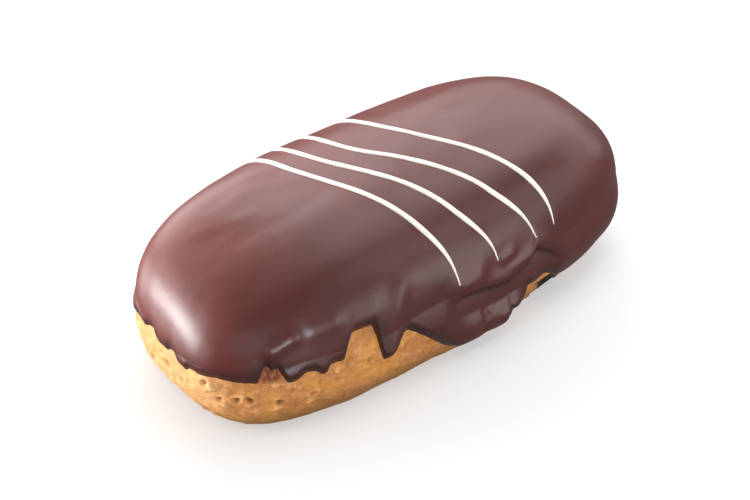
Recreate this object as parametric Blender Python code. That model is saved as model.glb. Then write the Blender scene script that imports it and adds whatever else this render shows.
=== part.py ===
"""A mini chocolate eclair: an oblong choux bun under poured chocolate icing with four thin white lines.

Metres, +Z up. The origin is on the table under the middle of the eclair, and +X runs along its length.
The icing stops highest at the -X end, and it has run down to the table on the long side that faces -Y.
"""

import math
import random
from bisect import bisect_left

import bmesh
import bpy
from mathutils import Vector, noise

MM = 0.001

# Driving dimensions of the whole form, icing included
LENGTH = 80.0 * MM
WIDTH = 36.6 * MM
SHOULDER = 10.6 * MM
DOME_RISE = 17.6 * MM
BELLY_DEPTH = 17.4 * MM
TAPER = 0.056

# How square the form is: 2 is an ellipse, and more is nearer a rounded box
PLAN_POWER = 3.2
DOME_POWER = 2.7
BELLY_POWER = 2.75

# How deep the bun's skin lies below the outer form: under the icing's top, and lower down, where it comes
# out to the form at the near end and almost to it at the far end
CRUST_DEPTH_TOP = 1.5 * MM
CRUST_DEPTH_NEAR = 0.0 * MM
CRUST_DEPTH_FAR = 0.4 * MM
CRUST_TOP_HEIGHT = 13.0 * MM
CRUST_BASE_HEIGHT = 5.0 * MM
CRUST_TURN_START = -34.0 * MM
CRUST_TURN_END = 4.0 * MM
GAP = 0.35 * MM
ICING_LEAST = 0.7 * MM

# The icing's lower edge: its height at the near end and at the far end
EDGE_NEAR = 11.8 * MM
EDGE_FAR = 6.5 * MM
EDGE_TURN_START = -5.0 * MM
EDGE_TURN_END = 30.0 * MM
EDGE_LOWEST = 1.5 * MM
EDGE_WAVER = 0.35 * MM
EDGE_WAVER_SIZE = 4.5 * MM
EDGE_ROUNDING = 0.35 * MM

# Runs and notches of that edge, by azimuth in degrees: start, fully there, leaving, end, drop in mm.
# A drop below zero is a notch, where the bun shows higher up.
EDGE_RUNS = (
    (-181.0, -180.0, -179.0, -177.0, 0.2),
    (-178.0, -175.5, -172.5, -170.0, -0.45),
    (-171.5, -168.5, -165.0, -161.0, 0.6),
    (-154.0, -151.0, -143.0, -139.0, -0.35),
    (-138.0, -135.4, -135.0, -132.5, -2.8),
    (-135.4, -133.4, -132.6, -129.5, -1.8),
    (-132.0, -130.3, -129.2, -126.0, 0.85),
    (-125.5, -122.8, -122.0, -120.0, 1.1),
    (-119.5, -115.9, -112.2, -108.6, -4.2),
    (-111.2, -108.9, -107.9, -103.4, 3.2),
    (-105.0, -88.0, -80.0, -72.8, 5.0),
    (-105.0, -88.0, -74.0, -67.4, 2.7),
    (-105.0, -88.0, -69.5, -62.0, 1.6),
    (-90.0, -87.5, -86.5, -84.0, 0.7),
    (-84.0, -81.5, -79.5, -77.0, -0.7),
    (-66.5, -58.0, -38.0, -16.0, 3.7),
    (4.0, 11.0, 16.0, 26.0, -1.8),
    (40.0, 47.0, 52.0, 60.0, 2.2),
    (72.0, 77.5, 79.5, 84.0, 3.4),
    (91.0, 98.0, 105.0, 112.0, -2.6),
    (117.0, 123.5, 126.0, 131.0, 3.8),
    (139.0, 146.0, 150.0, 157.0, 1.2),
    (163.0, 168.0, 172.0, 174.5, -0.9),
    (173.0, 175.5, 180.0, 181.0, 0.2),
)

# The icing's surface: slow waves, finer ripples, and a lip that is thickest a little above the edge
ICING_LEVEL = -0.15 * MM
WAVE_SIZE = 13.0 * MM
WAVE_HEIGHT = 0.22 * MM
WAVE_START = Vector((7.0, 16.5, 7.5))
RIPPLE_SIZE = 6.0 * MM
RIPPLE_HEIGHT = 0.08 * MM
RIPPLE_START = Vector((9.0, 2.0, 18.5))
LIP_STANDING = 0.15 * MM
LIP_ABOVE_EDGE = 2.4 * MM
LIP_SPREAD = 1.6 * MM

# Where the icing has run down on the -Y side: a groove and, under it, a skirt. Each has the height of its
# middle, its spread up and down, how far it stands out, and its run along X: start, full, leaving and end.
SIDE_START = -12.0 * MM
SIDE_FULL = -15.0 * MM
GROOVE = (11.6 * MM, 2.1 * MM, -0.95 * MM, (-1.0 * MM, 4.0 * MM, 16.0 * MM, 23.0 * MM))
GROOVE_TILT = 0.16
GROOVE_TILT_START = 12.0 * MM
SKIRT = (5.0 * MM, 3.0 * MM, 0.4 * MM, (-2.0 * MM, 4.0 * MM, 10.5 * MM, 17.0 * MM))

# The four white lines. On the plan each crosses the eclair at a slant: where it crosses the middle in mm,
# its lean towards +X for each millimetre towards -Y, how much it hooks near its front end, how much it
# bends towards its back end, and where the front end is in mm.
WHITE_LINES = (
    ("first", -10.7, 0.50, 0.063, 0.016, -18.0),
    ("second", -6.1, 0.59, 0.134, 0.021, -17.8),
    ("third", -0.8, 0.72, 0.160, 0.030, -17.3),
    ("fourth", 6.9, 0.69, 0.028, 0.020, -16.9),
)
LINE_RADIUS = 0.42 * MM
LINE_SUNK = 0.12 * MM
LINE_BACK = 17.0
LINE_HOOK_START = 13.0
LINE_STEPS = 26
LINE_FADE = 0.16
LINE_THINNEST = 0.35

# Mesh density. Both pieces share their azimuths and the rings under the icing, which keeps their gap even.
AROUND = 132
OUTER_RINGS = (7, 5)
EDGE_RINGS = 4
INNER_RINGS = (5, 3)
SIDE_RINGS = 10
CROWN_FOOT = 17.5 * MM
SIDE_FOOT = -1.5 * MM

# The crust's relief: it only dips below the bun's smooth skin
CREASE_SIZE = 5.0 * MM
CREASE_DEPTH = 0.5 * MM
GRAIN_SIZE = 2.2 * MM
GRAIN_DEPTH = 0.25 * MM
PIT_SEED = 11
PIT_COUNT = 46
PIT_HEIGHTS = (1.5 * MM, 12.0 * MM)
PIT_RADII = (1.0 * MM, 1.8 * MM)
PIT_DEPTHS = (0.3 * MM, 0.8 * MM)

# On the -Y side the bun and, less so, the icing are tucked in near the table, and the bun has a torn pocket
TUCK_RUN = (11.0 * MM, 15.0 * MM, 31.0 * MM, 38.0 * MM)
TUCK_TOP = 10.0 * MM
TUCK_FULL_HEIGHT = 1.0 * MM
TUCK_SIDE_START = -4.0 * MM
TUCK_SIDE_FULL = -10.0 * MM
BUN_TUCK = 1.6 * MM
ICING_TUCK = 1.2 * MM
POCKET = Vector((18.6 * MM, -16.6 * MM, 6.6 * MM))
POCKET_RADIUS = 2.8 * MM
POCKET_DEPTH = 1.3 * MM

COLOURS = {
    "choux_bun": ((0.58, 0.33, 0.12, 1.0), 0.75),
    "chocolate_icing": ((0.075, 0.026, 0.020, 1.0), 0.35),
}


def clear_scene():
    for old in list(bpy.data.objects):
        bpy.data.objects.remove(old)


def ease(start, end, value):
    """0 before start, 1 after end, with a smooth climb between them. start may be the larger."""
    share = min(1.0, max(0.0, (value - start) / (end - start)))
    return share * share * (3.0 - 2.0 * share)


def run_share(run, value):
    """0 outside a run and 1 along its full stretch, where run is its start, full, leaving and end."""
    start, full, leaving, end = run
    return ease(start, full, value) * ease(end, leaving, value)


def bump(middle, spread, value):
    """1 in the middle of a smooth bump, and about a third one spread away from it."""
    return math.exp(-(((value - middle) / spread) ** 2))


def plan_size(x, y):
    """1 on the outline of a plan that is 1 each way, less inside it."""
    return (abs(x) ** PLAN_POWER + abs(y) ** PLAN_POWER) ** (1.0 / PLAN_POWER)


def half_width(x):
    """Half of the eclair's width at a distance x along it, where x is 1 at the far end."""
    return WIDTH / 2.0 * (1.0 - TAPER * x)


def form_point(azimuth, latitude):
    """The outer form's point at an azimuth round the plan and a latitude up the dome or down the belly."""
    flat, up = math.cos(latitude), math.sin(latitude)
    power = DOME_POWER if up > 0.0 else BELLY_POWER
    rise = DOME_RISE if up > 0.0 else BELLY_DEPTH
    across = flat * plan_size(math.cos(azimuth), math.sin(azimuth))
    size = (across**power + abs(up) ** power) ** (-1.0 / power)
    x = size * flat * math.cos(azimuth)
    y = size * flat * math.sin(azimuth)
    return Vector((LENGTH / 2.0 * x, half_width(x) * y, SHOULDER + rise * size * up))


def latitude_at(azimuth, height):
    """The latitude at which the outer form is at this height."""
    above = height - SHOULDER
    power = DOME_POWER if above > 0.0 else BELLY_POWER
    rise = DOME_RISE if above > 0.0 else BELLY_DEPTH
    share = (abs(above) / rise) ** power
    slope = (share / (1.0 - share)) ** (1.0 / power)
    slope *= plan_size(math.cos(azimuth), math.sin(azimuth))
    return math.copysign(math.atan(slope), above)


def outward(point):
    """The direction straight out of the outer form at a point on it."""
    x = 2.0 * point.x / LENGTH
    wide = half_width(x)
    y = point.y / wide
    power = DOME_POWER if point.z > SHOULDER else BELLY_POWER
    rise = DOME_RISE if point.z > SHOULDER else BELLY_DEPTH
    z = (point.z - SHOULDER) / rise
    across = plan_size(x, y)
    if across < 1e-6:
        return Vector((0.0, 0.0, math.copysign(1.0, z)))
    side = across ** (power - PLAN_POWER)
    along = side * abs(x) ** (PLAN_POWER - 1.0) * 2.0 / LENGTH
    out = side * abs(y) ** (PLAN_POWER - 1.0) / wide
    up = abs(z) ** (power - 1.0) / rise
    return Vector((math.copysign(along, x), math.copysign(out, y), math.copysign(up, z))).normalized()


def edge_height(azimuth):
    """Height of the icing's lower edge at an azimuth in radians."""
    degrees = math.degrees(azimuth)
    shoulder_point = form_point(azimuth, 0.0)
    far = ease(EDGE_TURN_START, EDGE_TURN_END, shoulder_point.x)
    height = EDGE_NEAR + (EDGE_FAR - EDGE_NEAR) * far
    for *run, drop in EDGE_RUNS:
        height -= drop * MM * run_share(run, degrees)
    height += EDGE_WAVER * noise.noise(shoulder_point / EDGE_WAVER_SIZE)
    return max(EDGE_LOWEST, height)


def side_tuck(point):
    """The share of its full depth that the tuck near the table on the -Y side has at a point."""
    low = ease(TUCK_TOP, TUCK_FULL_HEIGHT, point.z)
    return low * run_share(TUCK_RUN, point.x) * ease(TUCK_SIDE_START, TUCK_SIDE_FULL, point.y)


def side_swell(point, swell, tilt):
    """How far the groove or the skirt stands out at a point of the -Y side."""
    height, spread, standing, run = swell
    height += tilt * max(0.0, point.x - GROOVE_TILT_START)
    return standing * run_share(run, point.x) * bump(height, spread, point.z)


def icing_relief(point, edge):
    """How far the icing stands out from the form."""
    relief = ICING_LEVEL + WAVE_HEIGHT * noise.noise(point / WAVE_SIZE + WAVE_START)
    relief += RIPPLE_HEIGHT * noise.noise(point / RIPPLE_SIZE + RIPPLE_START)
    relief += LIP_STANDING * bump(edge + LIP_ABOVE_EDGE, LIP_SPREAD, point.z)
    swells = side_swell(point, GROOVE, GROOVE_TILT) + side_swell(point, SKIRT, 0.0)
    return relief + swells * ease(SIDE_START, SIDE_FULL, point.y)


def crust_depth(point):
    """How deep the bun's smooth skin lies below the outer form."""
    far = ease(CRUST_TURN_START, CRUST_TURN_END, point.x)
    low = CRUST_DEPTH_NEAR + (CRUST_DEPTH_FAR - CRUST_DEPTH_NEAR) * far
    return low + (CRUST_DEPTH_TOP - low) * ease(CRUST_BASE_HEIGHT, CRUST_TOP_HEIGHT, point.z)


def ring_latitude(azimuth, edge, ring, rings):
    """Latitude of a ring of the icing, counted down from the top over its crown and then its side."""
    crown_rings, side_rings = rings
    crown = latitude_at(azimuth, CROWN_FOOT)
    if ring <= crown_rings:
        return math.pi / 2.0 + (crown - math.pi / 2.0) * ring / crown_rings
    side = latitude_at(azimuth, edge) - crown
    return crown + side * (ring - crown_rings) / side_rings


def icing_point(azimuth, ring, edge):
    """A point on one of the icing's rings: down its outside, round its edge, then up its inside."""
    outer, inner = sum(OUTER_RINGS), sum(INNER_RINGS)
    if ring <= outer:
        latitude, turn = ring_latitude(azimuth, edge, ring, OUTER_RINGS), 0.0
    elif ring >= outer + EDGE_RINGS:
        back = outer + EDGE_RINGS + inner - ring
        latitude, turn = ring_latitude(azimuth, edge, back, INNER_RINGS), math.pi
    else:
        latitude, turn = latitude_at(azimuth, edge), math.pi * (ring - outer) / EDGE_RINGS
    point = form_point(azimuth, latitude)
    normal = outward(point)
    tuck = side_tuck(point)
    depth = crust_depth(point) - GAP
    standing = max(icing_relief(point, edge), ICING_LEAST - depth - (BUN_TUCK - ICING_TUCK) * tuck)
    outside = point + normal * standing + Vector((0.0, ICING_TUCK * tuck, 0.0))
    inside = point - normal * depth + Vector((0.0, BUN_TUCK * tuck, 0.0))
    around = Vector((-math.sin(azimuth), math.cos(azimuth), 0.0))
    downward = normal.cross(around)
    downward *= -math.copysign(EDGE_ROUNDING, downward.z)
    across = (outside - inside) / 2.0
    return (outside + inside) / 2.0 + across * math.cos(turn) + downward * math.sin(turn)


def even_azimuths(count):
    """Azimuths whose points are evenly spaced round the outline of the plan."""
    fine = 8 * count
    azimuths = [2.0 * math.pi * step / fine - math.pi for step in range(fine + 1)]
    outline = [form_point(azimuth, 0.0) for azimuth in azimuths]
    walked = [0.0]
    for before, after in zip(outline, outline[1:]):
        walked.append(walked[-1] + (after - before).length)
    found = []
    for step in range(count):
        wanted = walked[-1] * step / count
        place = max(1, bisect_left(walked, wanted))
        share = (wanted - walked[place - 1]) / (walked[place] - walked[place - 1])
        found.append(azimuths[place - 1] + share * (azimuths[place] - azimuths[place - 1]))
    return found


def shaped_ball(rings, place):
    """A ball of rings from its top to its bottom, each vertex moved to place(azimuth number, ring)."""
    shape = bmesh.new()
    bmesh.ops.create_uvsphere(shape, u_segments=AROUND, v_segments=rings, radius=1.0)
    for vertex in shape.verts:
        turn = math.atan2(vertex.co.y, vertex.co.x) / (2.0 * math.pi) + 0.5
        ring = round(math.acos(max(-1.0, min(1.0, vertex.co.z))) / math.pi * rings)
        vertex.co = place(round(turn * AROUND) % AROUND, ring)
    return shape


def icing_shape(azimuths, edges):
    rings = sum(OUTER_RINGS) + EDGE_RINGS + sum(INNER_RINGS)
    return shaped_ball(rings, lambda number, ring: icing_point(azimuths[number], ring, edges[number]))


def crust_pits():
    """Centres, radii and depths of the pits in the bun's side, spread round it by a seeded draw."""
    draw = random.Random(PIT_SEED)
    pits = [(POCKET, POCKET_RADIUS, POCKET_DEPTH)]
    for azimuth in even_azimuths(PIT_COUNT):
        turned = azimuth + draw.uniform(-0.05, 0.05)
        centre = form_point(turned, latitude_at(turned, draw.uniform(*PIT_HEIGHTS)))
        pits.append((centre, draw.uniform(*PIT_RADII), draw.uniform(*PIT_DEPTHS)))
    return pits


def crust_dip(point, pits):
    """How far the crust dips below the bun's smooth skin: creases, grain and pits."""
    dip = CREASE_DEPTH * (0.5 + 0.5 * noise.noise(point / CREASE_SIZE + Vector((0.0, 9.0, 0.0))))
    dip += GRAIN_DEPTH * (0.5 + 0.5 * noise.noise(point / GRAIN_SIZE + Vector((0.0, 0.0, 7.0))))
    for centre, radius, depth in pits:
        away = (point - centre).length / radius
        if away < 1.0:
            dip += depth * (1.0 - away * away) ** 2
    return dip


def bun_point(azimuth, ring, edge, pits):
    """A point on one of the bun's rings: smooth under the icing, then crusty down its side."""
    covered = sum(INNER_RINGS)
    if ring <= covered:
        point = form_point(azimuth, ring_latitude(azimuth, edge, ring, INNER_RINGS))
        depth = crust_depth(point)
    else:
        share = (ring - covered) / SIDE_RINGS
        point = form_point(azimuth, latitude_at(azimuth, edge + (SIDE_FOOT - edge) * share))
        depth = crust_depth(point) + crust_dip(point, pits)
    return point - outward(point) * depth + Vector((0.0, BUN_TUCK * side_tuck(point), 0.0))


def bun_shape(azimuths, edges):
    """The bun, cut flat where it stands on the table."""
    pits = crust_pits()
    last_ring = sum(INNER_RINGS) + SIDE_RINGS

    def place(number, ring):
        if ring > last_ring:
            return Vector((0.0, 0.0, SIDE_FOOT))
        return bun_point(azimuths[number], ring, edges[number], pits)

    shape = shaped_ball(last_ring + 1, place)
    everything = shape.verts[:] + shape.edges[:] + shape.faces[:]
    bmesh.ops.bisect_plane(shape, geom=everything, plane_no=(0.0, 0.0, -1.0), clear_outer=True)
    bmesh.ops.contextual_create(shape, geom=[edge for edge in shape.edges if edge.is_boundary])
    return shape


def add_object(name, shape, collection):
    bmesh.ops.recalc_face_normals(shape, faces=shape.faces[:])
    mesh = bpy.data.meshes.new(name)
    shape.to_mesh(mesh)
    shape.free()
    mesh.shade_smooth()
    made = bpy.data.objects.new(name, mesh)
    collection.objects.link(made)
    return made


def line_path(crossing, lean, hook, bend, front):
    """Points and radii of a white line, from behind the eclair over its top to the -Y side."""
    path = []
    for step in range(LINE_STEPS + 1):
        share = step / LINE_STEPS
        swing = math.cos(math.pi * share)
        y = LINE_BACK * swing if swing > 0.0 else -front * swing
        past = max(0.0, -y - LINE_HOOK_START)
        x = crossing - lean * y + hook * past**2 + bend * max(0.0, y) ** 2
        along = 2.0 * x * MM / LENGTH
        reach = plan_size(along, y * MM / half_width(along))
        height = SHOULDER + DOME_RISE * (1.0 - reach**DOME_POWER) ** (1.0 / DOME_POWER)
        point = Vector((x * MM, y * MM, height))
        lift = icing_relief(point, 0.0) - LINE_SUNK
        thick = ease(0.0, LINE_FADE, share) * ease(1.0, 1.0 - LINE_FADE, share)
        path.append((point + outward(point) * lift, LINE_THINNEST + (1.0 - LINE_THINNEST) * thick))
    return path


def white_line(name, path, collection):
    """One white line as a tube half sunk in the icing, turned into a closed mesh."""
    curve = bpy.data.curves.new(name, "CURVE")
    curve.dimensions = "3D"
    curve.bevel_depth = LINE_RADIUS
    curve.bevel_resolution = 1
    curve.use_fill_caps = True
    spline = curve.splines.new("POLY")
    spline.points.add(len(path) - 1)
    for target, (point, radius) in zip(spline.points, path):
        target.co = (*point, 1.0)
        target.radius = radius
    guide = bpy.data.objects.new(name + "_guide", curve)
    collection.objects.link(guide)
    bpy.context.view_layer.update()
    mesh = bpy.data.meshes.new_from_object(guide.evaluated_get(bpy.context.evaluated_depsgraph_get()))
    bpy.data.objects.remove(guide)
    shape = bmesh.new()
    shape.from_mesh(mesh)
    bpy.data.meshes.remove(mesh)
    bmesh.ops.remove_doubles(shape, verts=shape.verts[:], dist=0.001 * MM)
    return add_object(name, shape, collection)


def join_lines(icing, lines):
    """Makes the icing and the white lines one solid, and removes the lines' own objects."""
    union = icing.modifiers.new("white_lines", "BOOLEAN")
    union.operation = "UNION"
    union.operand_type = "COLLECTION"
    union.collection = lines
    bpy.context.view_layer.update()
    graph = bpy.context.evaluated_depsgraph_get()
    joined = bpy.data.meshes.new_from_object(icing.evaluated_get(graph))
    icing.modifiers.remove(union)
    icing.data = joined
    joined.name = icing.name
    for line in list(lines.objects):
        bpy.data.objects.remove(line)
    bpy.data.collections.remove(lines)


def centre_on_table(pieces):
    """Moves the pieces together so that the middle of their box is over the origin."""
    corners = [vertex.co for piece in pieces for vertex in piece.data.vertices]
    for axis in (0, 1):
        values = [corner[axis] for corner in corners]
        middle = (min(values) + max(values)) / 2.0
        for piece in pieces:
            for vertex in piece.data.vertices:
                vertex.co[axis] -= middle


def paint(piece):
    """Gives a piece its own plain material."""
    colour, roughness = COLOURS[piece.name]
    material = bpy.data.materials.new(piece.name)
    material.use_nodes = True
    shader = material.node_tree.nodes["Principled BSDF"]
    shader.inputs["Base Color"].default_value = colour
    shader.inputs["Roughness"].default_value = roughness
    shader.inputs["Metallic"].default_value = 0.0
    piece.data.materials.clear()
    piece.data.materials.append(material)


def build():
    clear_scene()
    eclair = bpy.data.collections.new("mini_chocolate_eclair")
    lines = bpy.data.collections.new("white_lines")
    bpy.context.scene.collection.children.link(eclair)
    bpy.context.scene.collection.children.link(lines)
    azimuths = even_azimuths(AROUND)
    edges = [edge_height(azimuth) for azimuth in azimuths]
    bun = add_object("choux_bun", bun_shape(azimuths, edges), eclair)
    icing = add_object("chocolate_icing", icing_shape(azimuths, edges), eclair)
    for name, *course in WHITE_LINES:
        white_line(name + "_white_line", line_path(*course), lines)
    join_lines(icing, lines)
    centre_on_table([bun, icing])
    for piece in (bun, icing):
        paint(piece)


build()
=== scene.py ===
# %% [markdown]
# # A mini chocolate eclair
#
# An eclair is an oblong bun of choux pastry with chocolate icing poured over its top. Here the icing has
# run down unevenly, furthest on the side that faces -Y, and four thin white lines cross it.
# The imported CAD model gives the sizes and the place. This lesson models the bun, the icing and the white
# lines again with all their small relief, gives them their finishes, and lights them like a studio picture.

import math
import random
from bisect import bisect_left

import bmesh
import bpy
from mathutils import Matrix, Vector, noise
from mathutils.kdtree import KDTree


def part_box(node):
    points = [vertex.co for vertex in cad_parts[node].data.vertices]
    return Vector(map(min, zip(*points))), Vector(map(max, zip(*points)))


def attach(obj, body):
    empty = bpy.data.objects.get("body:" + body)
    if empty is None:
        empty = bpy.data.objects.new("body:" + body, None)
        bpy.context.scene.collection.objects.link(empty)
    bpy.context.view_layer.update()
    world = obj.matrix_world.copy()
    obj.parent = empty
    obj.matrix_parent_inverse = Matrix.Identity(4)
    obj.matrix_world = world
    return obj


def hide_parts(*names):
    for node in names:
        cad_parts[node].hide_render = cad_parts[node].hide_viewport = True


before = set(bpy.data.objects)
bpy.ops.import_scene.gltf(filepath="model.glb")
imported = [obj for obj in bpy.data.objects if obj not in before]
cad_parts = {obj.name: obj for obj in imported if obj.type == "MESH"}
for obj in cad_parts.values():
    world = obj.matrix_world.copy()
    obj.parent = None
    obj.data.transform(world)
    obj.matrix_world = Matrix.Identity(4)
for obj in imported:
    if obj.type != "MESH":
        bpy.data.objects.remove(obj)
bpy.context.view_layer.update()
ICING_LENGTH = 80.2
icing_low, icing_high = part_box("chocolate_icing")
MM = (icing_high.x - icing_low.x) / ICING_LENGTH
print("one millimetre is", round(MM, 6), "m of the packed eclair")

# %% [markdown]
# ## The form
#
# A real eclair is piped as a straight bar, so its plan is close to a rounded rectangle, and it rises to
# a dome. A superellipse has just that form: with a power of 2 it is an ellipse, and a higher power makes
# it squarer. One formula in spherical style, with an azimuth round the plan and a latitude up the dome,
# gives every point of the outer form, so all the pieces are laid out on it. Everything is worked out in
# millimetres, and is only turned into metres when a piece is finished.

# %% Sizes of the outer form, in millimetres
LENGTH = 80.0
WIDTH = 36.6
SHOULDER = 10.6
DOME_RISE = 17.6
BELLY_DEPTH = 17.4
TAPER = 0.056
PLAN_POWER = 3.2
DOME_POWER = 2.7
BELLY_POWER = 2.75
POLE_SIZE = 1e-6


def plan_size(x, y):
    """1 on the outline of a plan that is 1 each way, less inside it."""
    return (abs(x) ** PLAN_POWER + abs(y) ** PLAN_POWER) ** (1.0 / PLAN_POWER)


def half_width(x):
    """Half of the eclair's width at a distance x along it, where x is 1 at the far end."""
    return WIDTH / 2.0 * (1.0 - TAPER * x)


def form_point(azimuth, latitude):
    """The outer form's point at an azimuth round the plan and a latitude up the dome or down the belly."""
    flat, up = math.cos(latitude), math.sin(latitude)
    power = DOME_POWER if up > 0.0 else BELLY_POWER
    rise = DOME_RISE if up > 0.0 else BELLY_DEPTH
    across = flat * plan_size(math.cos(azimuth), math.sin(azimuth))
    size = (across**power + abs(up) ** power) ** (-1.0 / power)
    x = size * flat * math.cos(azimuth)
    y = size * flat * math.sin(azimuth)
    return Vector((LENGTH / 2.0 * x, half_width(x) * y, SHOULDER + rise * size * up))


def latitude_at(azimuth, height):
    """The latitude at which the outer form is at this height."""
    above = height - SHOULDER
    power = DOME_POWER if above > 0.0 else BELLY_POWER
    rise = DOME_RISE if above > 0.0 else BELLY_DEPTH
    share = (abs(above) / rise) ** power
    slope = (share / (1.0 - share)) ** (1.0 / power)
    slope *= plan_size(math.cos(azimuth), math.sin(azimuth))
    return math.copysign(math.atan(slope), above)


def outward(point):
    """The direction straight out of the outer form at a point on it."""
    x = 2.0 * point.x / LENGTH
    wide = half_width(x)
    y = point.y / wide
    power = DOME_POWER if point.z > SHOULDER else BELLY_POWER
    rise = DOME_RISE if point.z > SHOULDER else BELLY_DEPTH
    z = (point.z - SHOULDER) / rise
    across = plan_size(x, y)
    if across < POLE_SIZE:
        return Vector((0.0, 0.0, math.copysign(1.0, z)))
    side = across ** (power - PLAN_POWER)
    along = side * abs(x) ** (PLAN_POWER - 1.0) * 2.0 / LENGTH
    out = side * abs(y) ** (PLAN_POWER - 1.0) / wide
    up = abs(z) ** (power - 1.0) / rise
    return Vector((math.copysign(along, x), math.copysign(out, y), math.copysign(up, z))).normalized()


print("the form is", LENGTH, "x", WIDTH, "mm and", SHOULDER + DOME_RISE, "mm high")

# %% [markdown]
# Relief is easiest to describe with soft steps and soft bumps. `ease` climbs from 0 to 1, `run_share` is
# 1 along a stretch and fades at both of its ends, and `bump` is a round hill. `rough` reads smooth noise
# that is the same each time the script runs, so no seed is needed.

# %% Soft steps and bumps


def ease(start, end, value):
    """0 before start, 1 after end, with a smooth climb between them. start may be the larger."""
    share = min(1.0, max(0.0, (value - start) / (end - start)))
    return share * share * (3.0 - 2.0 * share)


def run_share(run, value):
    """0 outside a run and 1 along its full stretch, where run is its start, full, leaving and end."""
    start, full, leaving, end = run
    return ease(start, full, value) * ease(end, leaving, value)


def bump(middle, spread, value):
    """1 in the middle of a smooth bump, and about a third one spread away from it."""
    return math.exp(-(((value - middle) / spread) ** 2))


def rough(point, size, start=Vector((0.0, 0.0, 0.0))):
    """Smooth noise from about -1 to 1 whose hills are about one size apart."""
    return noise.noise(point / size + start)


print("a run from 0 to 4 is", run_share((0.0, 1.0, 3.0, 4.0), 0.5), "at a half")

# %% [markdown]
# ## Where the icing stops
#
# Poured icing stops where it sets, so its lower edge is a wavering line with drips and notches. The edge
# is a height for each azimuth: one level at the near end, a lower one at the far end, and a list of runs
# that pull it down or push it up over a few degrees. Three sizes of noise make it scalloped.

# %% The icing's lower edge
EDGE_NEAR = 11.2
EDGE_FAR = 6.0
EDGE_TURN = (-5.0, 30.0)
EDGE_LOWEST = 1.0
EDGE_WAVERS = ((4.5, 0.12), (1.7, 0.16), (0.8, 0.12))

# Start, fully there, leaving, end, all in degrees, then the drop. A drop below zero is a notch.
EDGE_RUNS = (
    (-181.0, -180.0, -179.0, -177.0, 0.2),
    (-178.0, -175.5, -172.5, -170.5, -0.45),
    (-171.5, -168.5, -165.0, -162.0, 0.6),
    (-154.0, -151.0, -143.0, -139.0, -0.35),
    (-137.6, -135.3, -135.1, -133.6, -2.9),
    (-135.0, -133.4, -132.6, -130.9, -1.8),
    (-131.2, -130.3, -129.2, -126.0, 0.85),
    (-124.6, -122.6, -122.1, -121.0, 1.1),
    (-118.3, -116.1, -111.7, -109.4, -3.9),
    (-111.2, -109.0, -107.9, -103.4, 3.3),
    (-105.0, -88.0, -77.0, -75.6, 5.0),
    (-105.0, -88.0, -71.2, -70.0, 2.7),
    (-105.0, -88.0, -68.0, -65.5, 1.6),
    (-90.0, -87.5, -86.5, -84.0, 0.7),
    (-84.0, -81.5, -79.5, -77.0, -0.7),
    (-66.5, -58.0, -38.0, -16.0, 3.7),
    (4.0, 11.0, 16.0, 26.0, -1.8),
    (40.0, 47.0, 52.0, 60.0, 2.2),
    (72.0, 77.5, 79.5, 84.0, 3.4),
    (91.0, 98.0, 105.0, 112.0, -2.6),
    (117.0, 123.5, 126.0, 131.0, 3.8),
    (139.0, 146.0, 150.0, 157.0, 1.2),
    (163.0, 168.0, 172.0, 174.0, -0.9),
    (173.0, 175.0, 180.0, 181.0, 0.2),
)


def edge_height(azimuth):
    """Height of the icing's lower edge at an azimuth in radians."""
    degrees = math.degrees(azimuth)
    shoulder_point = form_point(azimuth, 0.0)
    height = EDGE_NEAR + (EDGE_FAR - EDGE_NEAR) * ease(*EDGE_TURN, shoulder_point.x)
    for *run, drop in EDGE_RUNS:
        height -= drop * run_share(run, degrees)
    for size, waver in EDGE_WAVERS:
        height += waver * rough(shoulder_point, size)
    return max(EDGE_LOWEST, height)


print("the edge is", round(edge_height(-math.pi), 1), "mm up at the near end")

# %% [markdown]
# ## How deep the crust lies
#
# The icing is thick on top and thin near its edge. Below the edge the bare crust comes nearly out to the
# form. On the long side near the table the bun and the icing are tucked in, a lot near the far end and a
# little near the near end, as a bun is where it stood on the baking sheet.

# %% Depth of the crust and the tuck near the table
CRUST_DEPTH_TOP = 1.5
CRUST_DEPTH_NEAR = 0.2
CRUST_DEPTH_FAR = 0.4
CRUST_CLIMB = (8.0, 17.0)
CRUST_TURN = (-34.0, 4.0)
TUCK_RUN = (11.0, 15.0, 31.0, 38.0)
FLANK_RUN = (-36.0, -26.0, -4.0, 3.0)
FLANK_SHARE = 0.28
TUCK_FALL = (10.0, 1.0)
TUCK_SIDE = (-4.0, -10.0)
BUN_TUCK = 1.6
ICING_TUCK = 1.2


def crust_depth(point):
    """How deep the bun's smooth skin lies below the outer form."""
    low = CRUST_DEPTH_NEAR + (CRUST_DEPTH_FAR - CRUST_DEPTH_NEAR) * ease(*CRUST_TURN, point.x)
    return low + (CRUST_DEPTH_TOP - low) * ease(*CRUST_CLIMB, point.z)


def side_tuck(point):
    """The share of its full depth that the tuck near the table has at a point of the -Y side."""
    along = max(run_share(TUCK_RUN, point.x), FLANK_SHARE * run_share(FLANK_RUN, point.x))
    return along * ease(*TUCK_FALL, point.z) * ease(*TUCK_SIDE, point.y)


print("under the top the crust is", crust_depth(Vector((0.0, 0.0, 28.0))), "mm down")

# %% [markdown]
# ## The icing's surface
#
# Chocolate icing levels itself, so it is smooth but not flat: slow waves, a slight lip just above its
# edge, a full shoulder at the back, and on the long side a crease where the top layer stopped, fat and
# rolled under, over an earlier run that bulges below it. The crease and the smaller marks follow short
# paths, so that the depth at a point depends on how far it is from them. Even in the crease a film of
# icing is left over the crust.

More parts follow.
